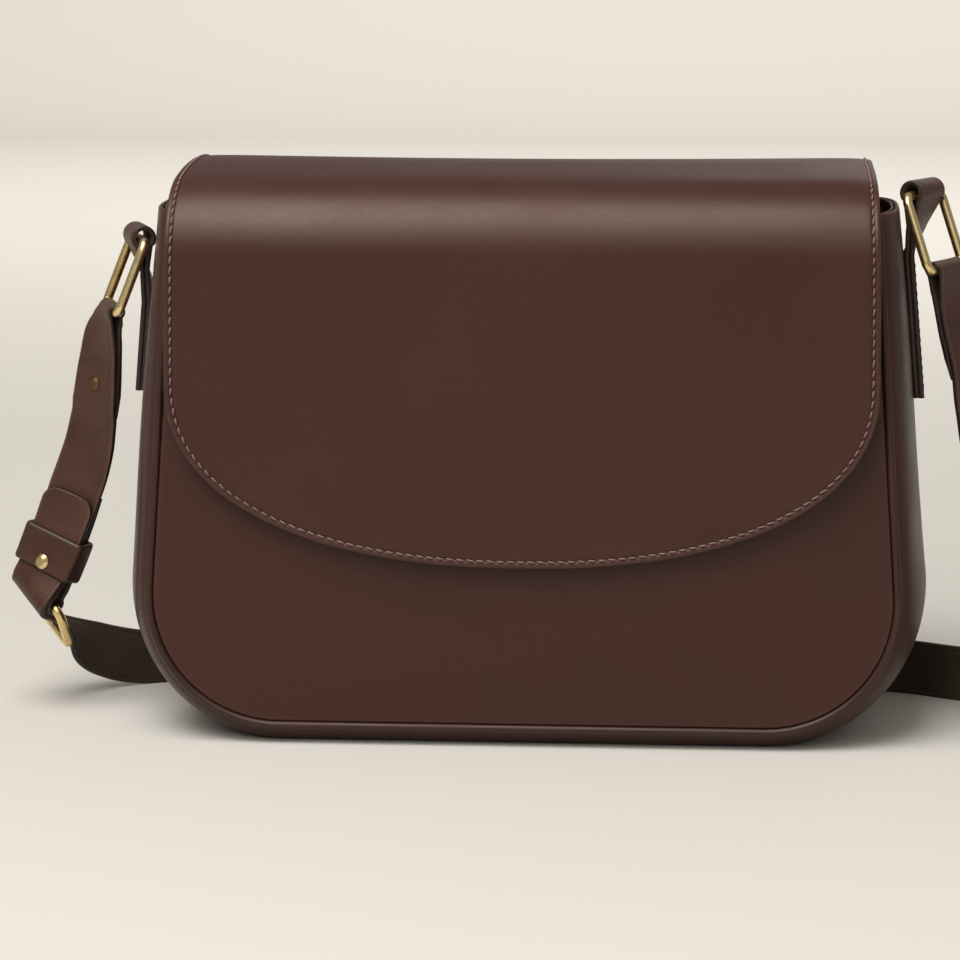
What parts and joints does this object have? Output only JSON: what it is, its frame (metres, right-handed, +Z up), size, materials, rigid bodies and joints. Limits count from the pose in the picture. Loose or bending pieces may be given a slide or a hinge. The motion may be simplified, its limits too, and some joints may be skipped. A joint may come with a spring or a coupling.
{
  "type": "crossbody bag",
  "caption": "Small leather crossbody bag with a rounded snap flap, side rings and an adjustable strap lying behind it.",
  "frame": {"origin": "middle of the flat base on the floor", "axes": "+Z up, -Y out of the front panel, +X to the right of the picture, along the strap's longest reach"},
  "size_m": [0.4017, 0.1088, 0.1787],
  "materials": {
    "leather": "smooth satin",
    "leather_dark": "smooth satin, piping and edges",
    "lining": "woven lining",
    "board": "dense covered board",
    "brass": "polished",
    "steel": "plain"
  },
  "bodies": {
    "bag": {"front_panel": "leather", "back_panel": "leather", "gusset": "leather", "front_piping": "leather_dark", "back_piping": "leather_dark", "front_facing": "leather", "back_facing": "leather", "front_lining": "lining", "back_lining": "lining", "gusset_lining": "lining", "slip_pocket": "lining", "base_board": "board", "flap_seam_strip": "leather", "snap_socket": "brass", "snap_socket_washer": "steel", "left_tab": "leather", "right_tab": "leather", "upper_strap": "leather", "keeper": "leather", "adjuster_stud": "brass", "long_strap": "leather"},
    "flap": {"flap_outer": "leather", "flap_lining": "lining", "snap_stud": "brass", "snap_stud_washer": "steel"},
    "left_ring": {"left_ring": "brass"},
    "right_ring": {"right_ring": "brass"},
    "left_strap_end": {"left_strap_end": "leather", "left_end_rivet": "brass"},
    "right_strap_end": {"right_strap_end": "leather", "right_end_rivet": "brass"},
    "buckle_frame": {"buckle_frame": "brass"}
  },
  "joints": [
    {"name": "flap_fold", "type": "hinge", "parent": "bag", "child": "flap", "pos_m": [0, 0.03365, 0.165], "axis": [-1, 0, 0], "range_deg": [0, 120]},
    {"name": "left_ring_swing", "type": "hinge", "parent": "bag", "child": "left_ring", "pos_m": [-0.12308, -0.0021, 0.15326], "axis": [-0.342, 0.9397, 0], "range_deg": [-2, 25]},
    {"name": "right_ring_swing", "type": "hinge", "parent": "bag", "child": "right_ring", "pos_m": [0.12244, -0.00213, 0.16875], "axis": [-0.4695, -0.8829, 0], "range_deg": [-2, 25]},
    {"name": "left_strap_swing", "type": "hinge", "parent": "left_ring", "child": "left_strap_end", "pos_m": [-0.13153, -0.00518, 0.13101], "axis": [-0.342, 0.9397, 0], "range_deg": [-8, 15]},
    {"name": "right_strap_swing", "type": "hinge", "parent": "right_ring", "child": "right_strap_end", "pos_m": [0.12969, -0.00598, 0.1462], "axis": [-0.4695, -0.8829, 0], "range_deg": [-8, 15]},
    {"name": "buckle_tilt", "type": "hinge", "parent": "bag", "child": "buckle_frame", "pos_m": [-0.15739, -0.0009, 0.04], "axis": [-0.6248, 0.5194, 0.583], "range_deg": [0, 20]}
  ]
}
